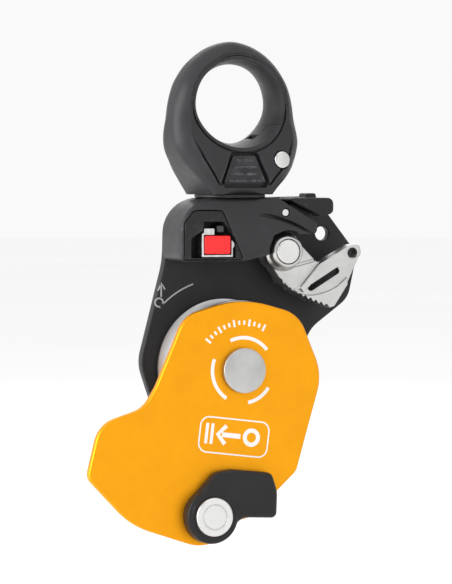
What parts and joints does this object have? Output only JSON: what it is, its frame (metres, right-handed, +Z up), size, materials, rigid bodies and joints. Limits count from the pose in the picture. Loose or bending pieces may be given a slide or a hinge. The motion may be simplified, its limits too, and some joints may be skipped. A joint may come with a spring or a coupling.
{
  "type": "rope pulley",
  "caption": "Progress-capture rope pulley: grooved sheave between a fixed and a swinging side plate, toothed cam on the rope, release latch and a gated swivel eye. Plate drawn open.",
  "frame": {"origin": "on the sheave's axle, at the middle of the flat face of the axle's head at the back", "axes": "+Z up along the swivel's axis to the eye, +Y along the axle from the side plate that opens to the fixed plate, +X towards the toothed cam"},
  "size_m": [0.1101, 0.0342, 0.1764],
  "materials": {
    "black_aluminium": "black hard-anodised, bead-blasted",
    "black_nylon": "fine moulded grain",
    "orange_anodised": "orange anodised, satin",
    "stainless": "brushed",
    "cast_stainless": "cast and tumbled",
    "sheave_aluminium": "turned",
    "red_plastic": "gloss",
    "spring_steel": "drawn wire",
    "seal_rubber": "matt"
  },
  "bodies": {
    "frame": {"fixed_side_plate": "black_aluminium", "head_block": "black_aluminium", "latch_panel": "black_nylon", "latch_keeper": "cast_stainless", "thrust_washer": "black_nylon", "back_screw_1": "stainless", "back_screw_2": "stainless", "back_screw_3": "stainless", "axle": "stainless", "axle_cap": "stainless", "spacer_front": "stainless", "spacer_back": "stainless", "bearing_inner_race": "stainless", "cam_pin": "stainless", "cam_spring": "spring_steel", "catch_pin": "stainless", "latch_spring": "spring_steel"},
    "swivel": {"swivel_eye": "black_aluminium", "gate_rivet": "stainless", "swivel_stem": "stainless", "swivel_nut": "stainless"},
    "gate": {"gate": "black_aluminium", "gate_plunger": "stainless"},
    "sheave": {"sheave": "sheave_aluminium", "bearing_outer_race": "stainless", "seal_front": "seal_rubber", "seal_back": "seal_rubber"},
    "bearing_cage": {"bearing_cage": "black_nylon", "ball_1": "stainless", "ball_2": "stainless", "ball_3": "stainless", "ball_4": "stainless", "ball_5": "stainless", "ball_6": "stainless", "ball_7": "stainless", "ball_8": "stainless", "ball_9": "stainless"},
    "side_plate": {"mobile_side_plate": "orange_anodised", "plate_bush": "black_nylon", "lever_rivet": "stainless", "lever_spring": "spring_steel"},
    "release_lever": {"release_lever": "black_nylon"},
    "latch_bolt": {"latch_bolt": "spring_steel"},
    "latch_flag": {"latch_flag": "red_plastic"},
    "cam": {"cam": "cast_stainless"},
    "catch": {"catch_lever": "black_nylon"}
  },
  "joints": [
    {"name": "swivel_turn", "type": "hinge", "parent": "frame", "child": "swivel", "pos_m": [0, -0.015, 0.062], "axis": [0, 0, 1], "continuous": true},
    {"name": "gate_hinge", "type": "hinge", "parent": "swivel", "child": "gate", "pos_m": [0.01505, -0.01288, 0.0738], "axis": [-0.1392, 0.9903, 0], "range_deg": [0, 50]},
    {"name": "sheave_turn", "type": "hinge", "parent": "frame", "child": "sheave", "pos_m": [0, -0.015, 0], "axis": [0, 1, 0], "continuous": true},
    {"name": "cage_turn", "type": "hinge", "parent": "frame", "child": "bearing_cage", "pos_m": [0, -0.015, 0], "axis": [0, 1, 0], "continuous": true},
    {"name": "side_plate_hinge", "type": "hinge", "parent": "frame", "child": "side_plate", "pos_m": [0, -0.0258, 0], "axis": [0, -1, 0], "range_deg": [0, 180]},
    {"name": "lever_hinge", "type": "hinge", "parent": "side_plate", "child": "release_lever", "pos_m": [-0.0131, -0.03, -0.0506], "axis": [0, 1, 0], "range_deg": [0, 20]},
    {"name": "latch_flag_slide", "type": "slide", "parent": "frame", "child": "latch_flag", "axis": [0, 1, 0], "range_m": [0, 0.0016]},
    {"name": "latch_bolt_slide", "type": "slide", "parent": "frame", "child": "latch_bolt", "axis": [0, -1, 0], "range_m": [0, 0.0034]},
    {"name": "cam_hinge", "type": "hinge", "parent": "frame", "child": "cam", "pos_m": [0.0192, -0.015, 0.0414], "axis": [0, 1, 0], "range_deg": [-24, 30]},
    {"name": "catch_hinge", "type": "hinge", "parent": "frame", "child": "catch", "pos_m": [0.0184, -0.015, 0.0552], "axis": [0, 1, 0], "range_deg": [-8, 4]}
  ],
  "couplings": [
    {"joint": "cage_turn", "follows": "sheave_turn", "ratio": 0.6056},
    {"joint": "latch_bolt_slide", "follows": "latch_flag_slide", "ratio": 2.125}
  ]
}
